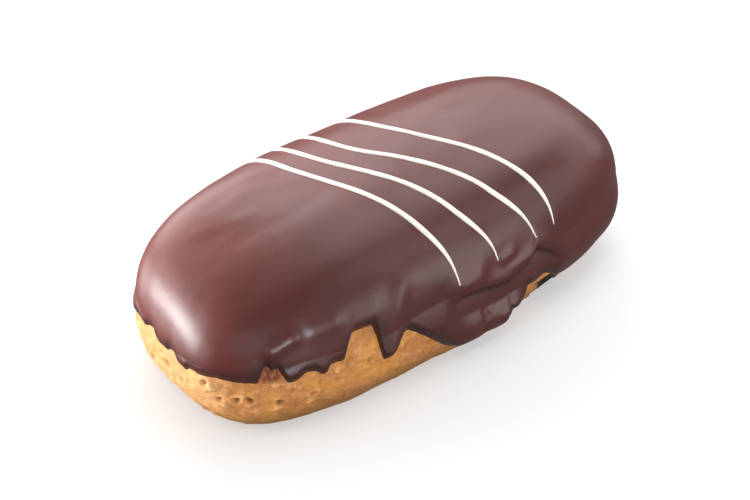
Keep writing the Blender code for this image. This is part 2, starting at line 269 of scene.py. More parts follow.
# %% Waves, lip, crease and skirt
ICING_LEVEL = -0.15
ICING_THICKNESS = 0.85
ICING_THINNEST = 0.2
ICING_WAVES = (
    (13.0, 0.22, Vector((7.0, 16.5, 7.5))),
    (6.0, 0.08, Vector((9.0, 2.0, 18.5))),
    (2.6, 0.035, Vector((3.0, 8.0, 1.0))),
)
LIP_STANDING = 0.05
LIP_ABOVE_EDGE = 2.4
LIP_SPREAD = 1.6
LIP_ROLL, LIP_ROLL_HEIGHT = 0.7, 1.8
BACK_STANDING = 0.3
BACK_CLIMB, BACK_SIDE = (12.0, 19.0), (2.0, 12.0)
SIDE = (-12.0, -15.0)
TOP = (17.0, 21.0)
SKIRT_HEIGHT, SKIRT_SPREAD, SKIRT_STANDING = 4.5, 3.0, 0.5
SKIRT_RUN = (-2.0, 4.0, 10.5, 17.0)
CREASE_PATH = (
    (-4.0, 12.4), (1.0, 11.5), (4.1, 11.2), (7.1, 10.4), (9.0, 10.2), (12.4, 10.9),
    (14.0, 11.3), (15.0, 13.2), (17.1, 12.0), (19.7, 10.2), (24.0, 9.3),
)
CREASE_RUN = (-3.0, 2.0, 16.5, 22.0)
CREASE_DEPTH, CREASE_WALL, CREASE_FADE = 1.3, (1.3, -0.9), 4.5
CREASE_LIP, CREASE_LIP_ABOVE, CREASE_LIP_SPREAD = 0.45, 2.2, 1.5
CREASE_BOTTOM, CREASE_SHADE_SPREAD = 0.2, 1.0

# Marks on the -Y side: how far each stands out, its spread, and its path along and up the side
SIDE_MARKS = (
    (-0.25, 0.45, ((6.5, 9.6), (5.7, 8.0), (4.9, 7.1), (5.5, 6.1), (4.9, 5.4), (4.9, 4.0))),
    (0.50, 1.3, ((-31.2, 16.7), (-28.4, 17.8))),
    (0.35, 1.6, ((-24.8, 18.0), (-22.0, 18.2))),
    (0.32, 1.6, ((-10.2, 19.0), (-11.7, 14.1), (-12.4, 10.8), (-12.9, 9.0))),
    (0.45, 2.0, ((0.5, 14.9), (3.6, 15.2))),
    (0.30, 1.0, ((8.5, 15.2), (10.0, 15.6))),
    (0.50, 1.8, ((9.0, 4.6), (10.6, 5.0))),
)

# Marks on the top, whose paths are seen from above
TOP_MARKS = (
    (-0.14, 1.6, ((15.0, 3.0), (21.0, 3.7), (25.5, 4.3), (30.0, 6.0))),
    (-0.08, 1.4, ((6.0, 9.5), (14.0, 9.0), (22.0, 10.5))),
    (-0.10, 1.5, ((-26.0, 7.4), (-21.0, 8.0), (-15.0, 6.0))),
    (0.08, 1.2, ((-30.5, 4.5), (-27.0, 2.6), (-23.0, 1.5))),
    (-0.07, 1.3, ((-27.0, -1.5), (-20.0, -3.0), (-12.0, -2.0))),
)


def path_distance(path, across, up):
    """Distance from a place to a path of places, each an across and an up."""
    nearest = math.inf
    for (a0, b0), (a1, b1) in zip(path, path[1:]):
        share = ((across - a0) * (a1 - a0) + (up - b0) * (b1 - b0)) / ((a1 - a0) ** 2 + (b1 - b0) ** 2)
        share = min(1.0, max(0.0, share))
        nearest = min(nearest, math.hypot(across - a0 - share * (a1 - a0), up - b0 - share * (b1 - b0)))
    return nearest


def marks_relief(marks, across, up):
    """How far a set of marks stands out at a place."""
    relief = 0.0
    for standing, spread, path in marks:
        relief += standing * bump(0.0, spread, path_distance(path, across, up))
    return relief


def path_height(path, across):
    """Height of a path of places at a distance across."""
    for (a0, b0), (a1, b1) in zip(path, path[1:]):
        if across < a1:
            return b0 + (b1 - b0) * max(0.0, across - a0) / (a1 - a0)
    return path[-1][1]


def in_crease(point):
    """1 at the bottom of the crease, and 0 away from it."""
    side = ease(*SIDE, point.y) * run_share(CREASE_RUN, point.x)
    return side * bump(CREASE_BOTTOM, CREASE_SHADE_SPREAD, point.z - path_height(CREASE_PATH, point.x))


def crease_relief(point):
    """The top layer's fat edge over the crease, and how the layer below comes back out under it."""
    above = point.z - path_height(CREASE_PATH, point.x)
    lip = CREASE_LIP * bump(CREASE_LIP_ABOVE, CREASE_LIP_SPREAD, above)
    under = CREASE_DEPTH * ease(*CREASE_WALL, above) * bump(0.0, CREASE_FADE, min(0.0, above))
    return (lip - under) * run_share(CREASE_RUN, point.x)


def side_relief(point):
    """How far the icing on the -Y side stands out: its skirt, its crease and its marks."""
    skirt = SKIRT_STANDING * run_share(SKIRT_RUN, point.x) * bump(SKIRT_HEIGHT, SKIRT_SPREAD, point.z)
    return skirt + crease_relief(point) + marks_relief(SIDE_MARKS, point.x, point.z)


def icing_relief(point, edge):
    """How far the icing stands out from the form."""
    relief = ICING_LEVEL + LIP_STANDING * bump(edge + LIP_ABOVE_EDGE, LIP_SPREAD, point.z)
    relief += BACK_STANDING * ease(*BACK_CLIMB, point.z) * ease(*BACK_SIDE, point.y)
    for size, height, start in ICING_WAVES:
        relief += height * rough(point, size, start)
    crust = (ICING_TUCK - BUN_TUCK) * side_tuck(point) - crust_depth(point)
    relief = max(relief, crust + ICING_THICKNESS)
    relief -= LIP_ROLL * min(1.0, max(0.0, 1.0 - (point.z - edge) / LIP_ROLL_HEIGHT)) ** 2
    side = ease(*SIDE, point.y)
    if side > 0.0:
        relief += side * side_relief(point)
    top = ease(*TOP, point.z)
    if top > 0.0:
        relief += top * marks_relief(TOP_MARKS, point.x, point.y)
    return max(relief, crust + ICING_THINNEST)


print("the icing has", len(SIDE_MARKS) + len(TOP_MARKS), "marks of its own")

# %% [markdown]
# ## A ball in rings
#
# The bun and the icing are both closed shapes round the same middle, and a UV sphere already has the
# right faces: rings of vertices from a top pole to a bottom pole. So each starts as a sphere, and every
# vertex is moved to a place found from its azimuth number and its ring. The azimuths are spaced evenly
# round the plan's outline, because equal angles would crowd the long sides' middles. A ball's first
# vertex can stand at half a step, where rounding could go either way, so a quarter step is taken off.

# %% Even azimuths and the ball
AROUND = 640
FINE_STEPS = 8
QUARTER_STEP = 0.25


def even_azimuths(count):
    """Azimuths whose points are evenly spaced round the outline of the plan."""
    fine = FINE_STEPS * count
    azimuths = [2.0 * math.pi * step / fine - math.pi for step in range(fine + 1)]
    outline = [form_point(azimuth, 0.0) for azimuth in azimuths]
    walked = [0.0]
    for before, after in zip(outline, outline[1:]):
        walked.append(walked[-1] + (after - before).length)
    found = []
    for step in range(count):
        wanted = walked[-1] * step / count
        place = max(1, bisect_left(walked, wanted))
        share = (wanted - walked[place - 1]) / (walked[place] - walked[place - 1])
        found.append(azimuths[place - 1] + share * (azimuths[place] - azimuths[place - 1]))
    return found


def ball(around, rings):
    """A ball as a bmesh, with the azimuth number and the ring from the top of each of its vertices."""
    shape = bmesh.new()
    bmesh.ops.create_uvsphere(shape, u_segments=around, v_segments=rings, radius=1.0)
    spots = []
    for vertex in shape.verts:
        turn = math.atan2(vertex.co.y, vertex.co.x) / (2.0 * math.pi) + 0.5
        ring = round(math.acos(max(-1.0, min(1.0, vertex.co.z))) / math.pi * rings)
        spots.append((round(turn * around - QUARTER_STEP) % around, ring))
    return shape, spots


azimuths = even_azimuths(AROUND)
edges = [edge_height(azimuth) for azimuth in azimuths]
print("the icing's edge runs from", round(min(edges), 1), "to", round(max(edges), 1), "mm up")

# %% [markdown]
# ## The icing
#
# Poured icing is a skin, thick on top and rounded at its edge. Its rings go down the outside, round the
# edge in a half ellipse, and back up the inside, which lies a little inside the bun so that no gap shows
# under the edge. Rings are closest together near the edge, where the lip and the scallops are. Each vertex
# also keeps its distance from the edge and how far into the crease it lies, because the finish paints
# shade there: the icing is painted darkest where it rolls under at its edge and in the crease.

# %% The icing's mesh
CROWN_FOOT = 17.5
OUTER_RINGS = (52, 46)
EDGE_RINGS = 10
INNER_RINGS = (5, 6)
EDGE_CROWDING = 1.35
EDGE_ROUNDING = 0.4
SUNK = 0.6
RIM_STEPS = 4


def ring_latitude(azimuth, edge, ring, rings):
    """Latitude of a ring of the icing, counted down from the top over its crown and then its side."""
    crown_rings, side_rings = rings
    crown = latitude_at(azimuth, CROWN_FOOT)
    if ring <= crown_rings:
        return math.pi / 2.0 + (crown - math.pi / 2.0) * ring / crown_rings
    share = 1.0 - (1.0 - (ring - crown_rings) / side_rings) ** EDGE_CROWDING
    return crown + (latitude_at(azimuth, edge) - crown) * share


def icing_point(azimuth, ring, edge):
    """A point on one of the icing's rings: down its outside, round its edge, then up its inside."""
    outer, inner = sum(OUTER_RINGS), sum(INNER_RINGS)
    if ring <= outer:
        latitude, turn = ring_latitude(azimuth, edge, ring, OUTER_RINGS), 0.0
    elif ring >= outer + EDGE_RINGS:
        back = outer + EDGE_RINGS + inner - ring
        latitude, turn = ring_latitude(azimuth, edge, back, INNER_RINGS), math.pi
    else:
        latitude, turn = latitude_at(azimuth, edge), math.pi * (ring - outer) / EDGE_RINGS
    point = form_point(azimuth, latitude)
    normal = outward(point)
    tuck = side_tuck(point)
    outside = point + normal * icing_relief(point, edge) + Vector((0.0, ICING_TUCK * tuck, 0.0))
    inside = point - normal * (crust_depth(point) + SUNK) + Vector((0.0, BUN_TUCK * tuck, 0.0))
    around = Vector((-math.sin(azimuth), math.cos(azimuth), 0.0))
    downward = normal.cross(around)
    downward *= -math.copysign(EDGE_ROUNDING, downward.z)
    across = (outside - inside) / 2.0
    return (outside + inside) / 2.0 + across * math.cos(turn) + downward * math.sin(turn)


rim_points = [icing_point(azimuth, sum(OUTER_RINGS), edge) for azimuth, edge in zip(azimuths, edges)]
rim = KDTree(RIM_STEPS * AROUND)
for number, point in enumerate(rim_points):
    for step in range(RIM_STEPS):
        rim.insert(point.lerp(rim_points[number - 1], step / RIM_STEPS), number)
rim.balance()
icing_shape, icing_spots = ball(AROUND, sum(OUTER_RINGS) + EDGE_RINGS + sum(INNER_RINGS))
# The distance from the edge and the crease share tell the finish where to paint shade: where the icing
# rolls under, and in the crease.
rim_distance = icing_shape.verts.layers.float.new("rim_distance")
crease = icing_shape.verts.layers.float.new("crease")
for vertex, (number, ring) in zip(icing_shape.verts, icing_spots):
    vertex.co = icing_point(azimuths[number], ring, edges[number])
    vertex[rim_distance] = rim.find(vertex.co)[2]
    vertex[crease] = in_crease(vertex.co)
print("the icing has", len(icing_shape.verts), "vertices")

# %% [markdown]
# ## Into place
#
# The icing reaches furthest both ways, so the middle of its box tells where the form stands in the packed
# model. Every piece is moved by the same small step and scaled from millimetres to metres in its mesh,
# and then rides on the eclair's only body.

# %% From a shape to a piece
xs = [vertex.co.x for vertex in icing_shape.verts]
ys = [vertex.co.y for vertex in icing_shape.verts]
middle = (icing_low + icing_high) / 2.0 / MM
STEP_INTO_PLACE = Vector((middle.x - (min(xs) + max(xs)) / 2.0, middle.y - (min(ys) + max(ys)) / 2.0, 0.0))


def finish_piece(name, shape, replaced_node):
    """Makes a shape in millimetres into a finished piece that stands for a CAD node."""
    bmesh.ops.translate(shape, verts=shape.verts[:], vec=STEP_INTO_PLACE)
    bmesh.ops.scale(shape, verts=shape.verts[:], vec=(MM, MM, MM))
    bmesh.ops.recalc_face_normals(shape, faces=shape.faces[:])
    mesh = bpy.data.meshes.new(name)
    shape.to_mesh(mesh)
    shape.free()
    mesh.shade_smooth()
    piece = bpy.data.objects.new(name, mesh)
    bpy.context.scene.collection.objects.link(piece)
    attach(piece, "root")
    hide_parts(replaced_node)
    return piece


icing = finish_piece("poured_icing", icing_shape, "chocolate_icing")
print("the form is moved by", tuple(round(part, 2) for part in STEP_INTO_PLACE), "mm")

# %% [markdown]
# ## The bun's crust
#
# Baked choux is never smooth: steam leaves pits and little blisters, and the skin wrinkles. The bun is
# smooth under the icing, where only a few rings are needed, and finely ringed down its bare side. Its
# relief is noise in four sizes, with pits and blisters on top. Some are where this bun has them, and the
# rest are spread by a seeded draw, so that the crust is the same on every run.

# %% Pits and blisters of the crust
CRUST_GRAINS = (
    (5.0, 0.35, Vector((0.0, 9.0, 0.0))),
    (2.2, 0.28, Vector((0.0, 0.0, 7.0))),
    (1.0, 0.16, Vector((4.0, 0.0, 2.0))),
    (0.5, 0.08, Vector((1.0, 6.0, 0.0))),
)
CRUST_SEED = 11
SPOT_TURN = 0.06

# Azimuth in degrees, height, radius, and depth, which is below zero for a blister
NAMED_SPOTS = (
    (-154.0, 10.2, 0.8, 0.45), (-143.5, 7.6, 0.9, 0.7), (-140.0, 7.8, 0.9, 0.8),
    (-132.4, 6.5, 0.9, 0.7), (-125.0, 6.6, 0.9, 0.7), (-149.0, 7.4, 0.7, 0.45),
    (-151.6, 9.4, 0.9, -0.35), (-140.0, 10.1, 0.7, -0.3), (-134.0, 5.7, 0.8, -0.35),
    (-126.0, 5.2, 0.8, -0.35), (-104.0, 8.8, 0.7, -0.3), (-99.8, 8.4, 0.7, -0.3),
    (-119.8, 9.4, 0.7, -0.35), (-117.0, 6.2, 0.7, -0.3), (-109.0, 5.3, 0.8, -0.3),
)

# How many are drawn, then their ranges of height, radius and depth
DRAWN_SPOTS = (
    (46, (1.5, 12.0), (0.8, 1.4), (0.25, 0.7)),
    (170, (0.5, 14.0), (0.35, 0.8), (0.1, 0.35)),
    (150, (0.5, 14.0), (0.5, 1.1), (-0.3, -0.1)),
)


def crust_spots():
    """Centre, radius and depth of every pit and blister in the bun's side."""
    spots = []
    for degrees, height, radius, depth in NAMED_SPOTS:
        azimuth = math.radians(degrees)
        spots.append((form_point(azimuth, latitude_at(azimuth, height)), radius, depth))
    draw = random.Random(CRUST_SEED)
    for count, heights, radii, depths in DRAWN_SPOTS:
        for azimuth in even_azimuths(count):
            turned = azimuth + draw.uniform(-SPOT_TURN, SPOT_TURN)
            centre = form_point(turned, latitude_at(turned, draw.uniform(*heights)))
            spots.append((centre, draw.uniform(*radii), draw.uniform(*depths)))
    return spots


spots = crust_spots()
print("the crust has", len(spots), "pits and blisters")

# %% [markdown]
# Each spot only reaches the vertices near it, and a KD-tree finds those quickly. The depth of the pits
# and the height of the blisters are also kept on the vertices as attributes, because the material paints
# the crust browner in a pit, partly as painted shade, and paler on a blister, partly as painted highlight.
# So are the stain in one notch and the void, a shallow hollow with a ragged edge under the far icing,
# which the material paints nearly black as painted shadow.

# %% The bun's mesh
COVERED_RINGS = (5, 6)
SIDE_RINGS = 76
SIDE_FOOT = -1.5
SKIN_FADE = 0.5
STAIN_MIDDLE, STAIN_SPREAD = -134.2, 3.6
STAIN_FOOT, STAIN_CLIMB = 10.2, 1.2
SPOT_REACH = 1.6
SPOT_WARP, SPOT_WARP_SIZE = 0.6, 0.8
PIT_RIM, PIT_RIM_PLACE, PIT_RIM_SPREAD = 0.25, 1.1, 0.2
BASE_CALM, BASE_CALM_CLIMB = 0.3, (0.5, 4.0)
# The void is a shallow hollow, which the finish paints nearly black as painted shadow.
VOID_AZIMUTH, VOID_HEIGHT, VOID_RADIUS, VOID_DEPTH = math.radians(-59.0), 1.9, 4.0, 0.3
VOID_REACH, VOID_INNER, VOID_WARP, VOID_WARP_SIZE = 1.5, 0.8, 0.35, 1.8


def bun_skin(point):
    """The place of the bun's smooth skin under a point of the form, and the direction out of it."""
    normal = outward(point)
    return point - normal * crust_depth(point) + Vector((0.0, BUN_TUCK * side_tuck(point), 0.0)), normal


def bun_place(azimuth, ring, edge):
    """A point of the bun's smooth skin, the direction out of it, and the share of crust relief it has."""
    covered = sum(COVERED_RINGS)
    if ring <= covered:
        point = form_point(azimuth, ring_latitude(azimuth, edge + SKIN_FADE, ring, COVERED_RINGS))
        bare = 0.0
    else:
        share = (ring - covered) / SIDE_RINGS
        point = form_point(azimuth, latitude_at(azimuth, edge + SKIN_FADE + (SIDE_FOOT - edge) * share))
        bare = ease(edge + SKIN_FADE, edge - SKIN_FADE, point.z)
    return *bun_skin(point), bare


def bun_shape():
    """The bun with its crust's relief and its attributes, cut flat where it stands on the table."""
    last_ring = sum(COVERED_RINGS) + SIDE_RINGS
    shape, numbers = ball(AROUND, last_ring + 1)
    pit = shape.verts.layers.float.new("pit")
    blister = shape.verts.layers.float.new("blister")
    stain = shape.verts.layers.float.new("stain")
    void = shape.verts.layers.float.new("void")
    shape.verts.ensure_lookup_table()
    normals, bares = [], []
    tree = KDTree(len(shape.verts))
    for index, (number, ring) in enumerate(numbers):
        skin, normal, bare = Vector((0.0, 0.0, SIDE_FOOT)), Vector((0.0, 0.0, -1.0)), 0.0
        if ring <= last_ring:
            skin, normal, bare = bun_place(azimuths[number], ring, edges[number])
            turned = bump(STAIN_MIDDLE, STAIN_SPREAD, math.degrees(azimuths[number]))
            shape.verts[index][stain] = turned * ease(STAIN_FOOT, STAIN_FOOT + STAIN_CLIMB, skin.z)
        shape.verts[index].co = skin
        normals.append(normal)
        bares.append(bare)
        tree.insert(skin, index)
    tree.balance()
    for centre, radius, depth in spots:
        for place, index, away in tree.find_range(centre, radius * SPOT_REACH):
            away *= (1.0 + SPOT_WARP * rough(place, SPOT_WARP_SIZE)) / radius
            share = max(0.0, 1.0 - away * away) ** 2
            vertex = shape.verts[index]
            if depth > 0.0:
                vertex[pit] += depth * share
                vertex[blister] += PIT_RIM * depth * bump(PIT_RIM_PLACE, PIT_RIM_SPREAD, away)
            else:
                vertex[blister] -= depth * share
    centre, _ = bun_skin(form_point(VOID_AZIMUTH, latitude_at(VOID_AZIMUTH, VOID_HEIGHT)))
    for place, index, away in tree.find_range(centre, VOID_RADIUS * VOID_REACH):
        away *= 1.0 + VOID_WARP * rough(place, VOID_WARP_SIZE)
        shape.verts[index][void] = ease(VOID_RADIUS, VOID_INNER * VOID_RADIUS, away)
    for vertex, normal, bare in zip(shape.verts, normals, bares):
        relief = vertex[blister] - vertex[pit] - VOID_DEPTH * vertex[void]
        calm = BASE_CALM + (1.0 - BASE_CALM) * ease(*BASE_CALM_CLIMB, vertex.co.z)
        for size, height, start in CRUST_GRAINS:
            relief += calm * height * rough(vertex.co, size, start)
        vertex.co += normal * (relief * bare)
    everything = shape.verts[:] + shape.edges[:] + shape.faces[:]
    bmesh.ops.bisect_plane(shape, geom=everything, plane_no=(0.0, 0.0, -1.0), clear_outer=True)
    bmesh.ops.contextual_create(shape, geom=[edge for edge in shape.edges if edge.is_boundary])
    return shape


bun = finish_piece("choux_crust_bun", bun_shape(), "choux_bun")
print("the bun has", len(bun.data.vertices), "vertices")

# %% [markdown]
# ## The white lines
#
# The white icing is piped back and forth in one thin thread, which sinks a little into the chocolate and
# tapers where it ends. A thread is a ball too, stretched along a path: its poles are the tips, and each
# ring is a flattened circle across the path. The path follows the icing's own surface, relief and all.

# %% Paths of the four lines
# Name, where it crosses the middle, its lean, its hook at the front, its bend at the back, its front end
WHITE_LINES = (
    ("first", -10.88, 0.50, 0.063, 0.015, -18.15),
    ("second", -6.25, 0.63, 0.103, 0.023, -17.87),
    ("third", -1.0, 0.785, 0.121, 0.033, -17.39),
    ("fourth", 6.7, 0.725, 0.0, 0.021, -16.97),
)
LINE_BACK = 17.0
LINE_HOOK_START = 13.0
LINE_STATIONS = 150
LINE_AROUND = 14
LINE_HALF_WIDTH = 0.42
LINE_HEIGHT = 0.30
LINE_SUNK = 0.04
LINE_FADE = 0.20
LINE_THINNEST = 0.25
LINE_TIP = 0.006
LINE_SWAY, LINE_SWAY_SIZE, SWAYS_APART = 0.16, 6.0, 7.0
LINE_UNEVEN, LINE_UNEVEN_SIZE, UNEVEN_START, UNEVEN_APART = 0.14, 3.0, 3.0, 5.0


def line_station(number, crossing, lean, hook, bend, front, share):
    """A place along a white line with the direction out of the icing there, and its thickness."""
    swing = math.cos(math.pi * share)
    y = LINE_BACK * swing if swing > 0.0 else -front * swing
    past = max(0.0, -y - LINE_HOOK_START)
    sway = LINE_SWAY * rough(Vector((0.0, y, SWAYS_APART * number)), LINE_SWAY_SIZE)
    x = crossing - lean * y + hook * past * past + bend * max(0.0, y) ** 2 + sway
    along = 2.0 * x / LENGTH
    reach = plan_size(along, y / half_width(along))
    height = SHOULDER + DOME_RISE * (1.0 - reach**DOME_POWER) ** (1.0 / DOME_POWER)
    point = Vector((x, y, height))
    normal = outward(point)
    thick = ease(0.0, LINE_FADE, share) * ease(1.0, 1.0 - LINE_FADE, share)
    thick = LINE_THINNEST + (1.0 - LINE_THINNEST) * thick
    thick *= 1.0 + LINE_UNEVEN * rough(Vector((UNEVEN_START, y, UNEVEN_APART * number)), LINE_UNEVEN_SIZE)
    tip = min(1.0, share / LINE_TIP, (1.0 - share) / LINE_TIP)
    return point + normal * (icing_relief(point, 0.0) - LINE_SUNK), normal, thick * math.sqrt(tip)


print("the lines cross the middle at", [line[1] for line in WHITE_LINES], "mm")

# %% The lines' meshes


def white_line(number, *path):
    """One white line as a ball stretched along its path."""
    shape, numbers = ball(LINE_AROUND, LINE_STATIONS)
    stations = [line_station(number, *path, step / LINE_STATIONS) for step in range(LINE_STATIONS + 1)]
    for vertex, (turn, ring) in zip(shape.verts, numbers):
        before, after = stations[max(0, ring - 1)][0], stations[min(LINE_STATIONS, ring + 1)][0]
        place, normal, thick = stations[ring]
        sideways = (after - before).cross(normal).normalized()
        angle = 2.0 * math.pi * turn / LINE_AROUND
        across = sideways * (LINE_HALF_WIDTH * math.cos(angle)) + normal * (LINE_HEIGHT * math.sin(angle))
        vertex.co = place + across * thick
    return shape


white_lines = []
for number, (name, *path) in enumerate(WHITE_LINES):
    shape = white_line(number, *path)
    white_lines.append(finish_piece(name + "_white_line", shape, "chocolate_icing"))
print("made", len(white_lines), "white lines")

# %% [markdown]
# ## Shader maths as Python
#
# A material is a graph of nodes, and a long graph is hard to read as code. `Wire` holds one output of a
# node. Adding, subtracting or multiplying wires adds the Math nodes, and `node` adds any other kind, so
# that a finish reads like the sentence that describes it.

# %% Wires between shader nodes


class Wire:
    """One output of a shader node, which can be used in sums."""

    def __init__(self, tree, socket=None):
        self.tree = tree
        self.socket = socket

    def node(self, kind, settings, sockets, output=0):
        """Adds a node: its settings first, then the value or the wire for each named socket."""
        made = self.tree.nodes.new(kind)
        for setting, value in settings.items():
            setattr(made, setting, value)
        for name, value in sockets.items():
            if isinstance(value, Wire):
                self.tree.links.new(value.socket, made.inputs[name])
            else:
                made.inputs[name].default_value = value
        return Wire(self.tree, made.outputs[output])

    def maths(self, operation, first, second):
        """Adds a Math node for two wires, or for a wire and a number."""
        return self.node("ShaderNodeMath", {"operation": operation}, {0: first, 1: second})

    def __add__(self, other):
        return self.maths("ADD", self, other)

    def __radd__(self, other):
        return self.maths("ADD", other, self)

    def __sub__(self, other):
        return self.maths("SUBTRACT", self, other)

    def __rsub__(self, other):
        return self.maths("SUBTRACT", other, self)

    def __mul__(self, other):
        return self.maths("MULTIPLY", self, other)

    def __rmul__(self, other):
        return self.maths("MULTIPLY", other, self)


print("wires can be added, subtracted and multiplied")

# %% [markdown]
# The finishes need only a few kinds of node. `grain` is noise at a size in millimetres, `between` turns a
# range of a wire into 0 to 1 with soft ends, and `blend` mixes two colours.

# %% Helpers for the finishes


def new_finish(name):
    """A new material's node tree as a wire, and its shader."""
    material = bpy.data.materials.new(name)
    material.use_nodes = True
    shader = material.node_tree.nodes["Principled BSDF"]
    return material, Wire(material.node_tree), shader


def place_wire(finish, stretch=(1.0, 1.0, 1.0), shift=(0.0, 0.0, 0.0)):
    """Where on the object a point is, stretched or shifted."""
    spot = finish.node("ShaderNodeTexCoord", {}, {}, "Object")
    return finish.node("ShaderNodeMapping", {}, {"Vector": spot, "Scale": stretch, "Location": shift})


def grain(finish, place, size, detail=2.0, roughness=0.5):
    """Soft noise from 0 to 1 whose patches are about one size across, in millimetres."""
    sockets = {"Vector": place, "Scale": 1.0 / (size * MM), "Detail": detail, "Roughness": roughness}
    return finish.node("ShaderNodeTexNoise", {}, sockets)


def between(finish, value, start, end):
    """0 where the value is at start, 1 where it is at end, with soft ends."""
    settings = {"interpolation_type": "SMOOTHSTEP"}
    return finish.node("ShaderNodeMapRange", settings, {"Value": value, "From Min": start, "From Max": end})


def between_mm(finish, value, start, end):
    """The same for a wire that holds a length in metres, with the range in millimetres."""
    return between(finish, value, start * MM, end * MM)


def blend(finish, share, first, second):
    """The first colour where share is 0 and the second where it is 1."""
    settings = {"data_type": "RGBA"}
    return finish.node("ShaderNodeMix", settings, {0: share, 6: first, 7: second}, 2)


def attribute(finish, name):
    """A number kept on the piece's own vertices."""
    return finish.node("ShaderNodeAttribute", {"attribute_name": name}, {}, "Fac")


def raise_surface(finish, shader, height, depth):
    """Joins a height from 0 to 1 to a shader as a bump this many millimetres deep."""
    sockets = {"Height": height, "Distance": depth * MM, "Strength": 1.0}
    wire = finish.node("ShaderNodeBump", {}, sockets)
    finish.tree.links.new(wire.socket, shader.inputs["Normal"])


print("a finish can read its place, noise and the piece's own attributes")

# %% [markdown]
# ## The chocolate icing's finish
#
# Set chocolate icing is satin, not glassy: its highlights are broad and soft. It is a very dark red brown
# that drifts between two browns in soft clouds. It is also painted lighter towards the back as painted
# light and darker on the -Y side as painted shade. The gloss drifts too. The lip at its edge and the crease
# are painted darkest, as painted shade. A very fine bump keeps the highlights from looking like plastic.

# %% Chocolate finish
# Two browns: the darker one is also painted shade on the -Y side, and the milkier one is painted light
# towards the back.
DARK_AND_SHADED_CHOCOLATE = (0.064, 0.013, 0.010, 1.0)
MILKY_AND_LIT_CHOCOLATE = (0.140, 0.031, 0.025, 1.0)
# Painted shade: the near black brown laid on the rolled-under lip and in the crease.
PAINTED_SHADE_CHOCOLATE = (0.022, 0.005, 0.004, 1.0)
DRAWN_OUT = (0.35, 1.0, 1.0)
CLOUD_SIZE, DRAWN_CLOUD_SIZE, CLOUD_CONTRAST = 16.0, 5.0, 1.2
LIT_SIDE_RANGE = (-22.0, 12.0)
# How the painted shade at the lip fades with the distance from the edge, and how much of it the crease gets
RIM_SHADE_RANGE, RIM_SHADE_SHARE = (2.6, 0.3), 0.8
RIM_SHADE_WAVER, RIM_SHADE_WAVER_SIZE = 1.5, 2.0
CREASE_SHADE_SHARE = 0.7
ICING_ROUGHNESS, ICING_UNEVEN_GLOSS, ICING_GLOSS_SIZE = 0.36, 0.10, 3.0
ICING_GRAIN_SIZE, ICING_FINE_GRAIN_SIZE, ICING_BUMP = 1.6, 0.35, 0.035
ICING_IOR = 1.5


def chocolate_finish():
    """Two drifting browns, painted lighter towards the back and darker on the -Y side, with painted shade
    at the rim and in the crease, and a satin gloss.
    """
    material, finish, shader = new_finish("satin chocolate icing")
    place = place_wire(finish)
    drawn_out = place_wire(finish, stretch=DRAWN_OUT)
    clouds = grain(finish, place, CLOUD_SIZE) * 0.6 + grain(finish, drawn_out, DRAWN_CLOUD_SIZE, 3.0) * 0.4
    across = finish.node("ShaderNodeSeparateXYZ", {}, {0: place}, "Y")
    # Random clouds of tone, plus painted light towards the back and painted shade on the -Y side across Y.
    milky_and_lit = between_mm(finish, across, *LIT_SIDE_RANGE) + (clouds - 0.5) * CLOUD_CONTRAST
    colour = blend(finish, milky_and_lit, DARK_AND_SHADED_CHOCOLATE, MILKY_AND_LIT_CHOCOLATE)
    # Painted shade: darkest on the lip where the icing rolls under, and in the crease.
    lip = attribute(finish, "rim_distance") + (grain(finish, place, RIM_SHADE_WAVER_SIZE) - 0.5) * RIM_SHADE_WAVER
    colour = blend(finish, between(finish, lip, *RIM_SHADE_RANGE) * RIM_SHADE_SHARE, colour, PAINTED_SHADE_CHOCOLATE)
    colour = blend(finish, attribute(finish, "crease") * CREASE_SHADE_SHARE, colour, PAINTED_SHADE_CHOCOLATE)
    finish.tree.links.new(colour.socket, shader.inputs["Base Color"])
    gloss = ICING_ROUGHNESS + (grain(finish, drawn_out, ICING_GLOSS_SIZE, 4.0) - 0.5) * ICING_UNEVEN_GLOSS
    finish.tree.links.new(gloss.socket, shader.inputs["Roughness"])
    coarse = grain(finish, drawn_out, ICING_GRAIN_SIZE)
    fine = grain(finish, place, ICING_FINE_GRAIN_SIZE)
    raise_surface(finish, shader, coarse * 0.7 + fine * 0.3, ICING_BUMP)
    shader.inputs["IOR"].default_value = ICING_IOR
    return material


icing.data.materials.append(chocolate_finish())
print("the icing has its satin chocolate")

# %% [markdown]
# ## The white icing's finish
#
# The white lines are sugar icing: nearly white, a little warm, with a soft gloss. A faint change of tone
# along each thread and a fine bump are enough at this size.

# %% White icing finish
WARM_WHITE = (0.92, 0.84, 0.78, 1.0)
CREAM_WHITE = (0.88, 0.77, 0.69, 1.0)
WHITE_TONE_SIZE, WHITE_TONE_RANGE = 1.5, (0.35, 0.7)
WHITE_ROUGHNESS, WHITE_UNEVEN_GLOSS, WHITE_GLOSS_SIZE = 0.42, 0.12, 0.8
WHITE_GRAIN_SIZE, WHITE_BUMP = 0.5, 0.02


def white_icing_finish():
    """Warm white sugar icing with a soft gloss."""
    material, finish, shader = new_finish("warm white icing")
    place = place_wire(finish)
    tone = between(finish, grain(finish, place, WHITE_TONE_SIZE), *WHITE_TONE_RANGE)
    colour = blend(finish, tone, WARM_WHITE, CREAM_WHITE)
    finish.tree.links.new(colour.socket, shader.inputs["Base Color"])
    gloss = WHITE_ROUGHNESS + (grain(finish, place, WHITE_GLOSS_SIZE) - 0.5) * WHITE_UNEVEN_GLOSS
    finish.tree.links.new(gloss.socket, shader.inputs["Roughness"])
    raise_surface(finish, shader, grain(finish, place, WHITE_GRAIN_SIZE), WHITE_BUMP)
    return material


white_icing = white_icing_finish()
for line in white_lines:
    line.data.materials.append(white_icing)
print("the lines have their white icing")
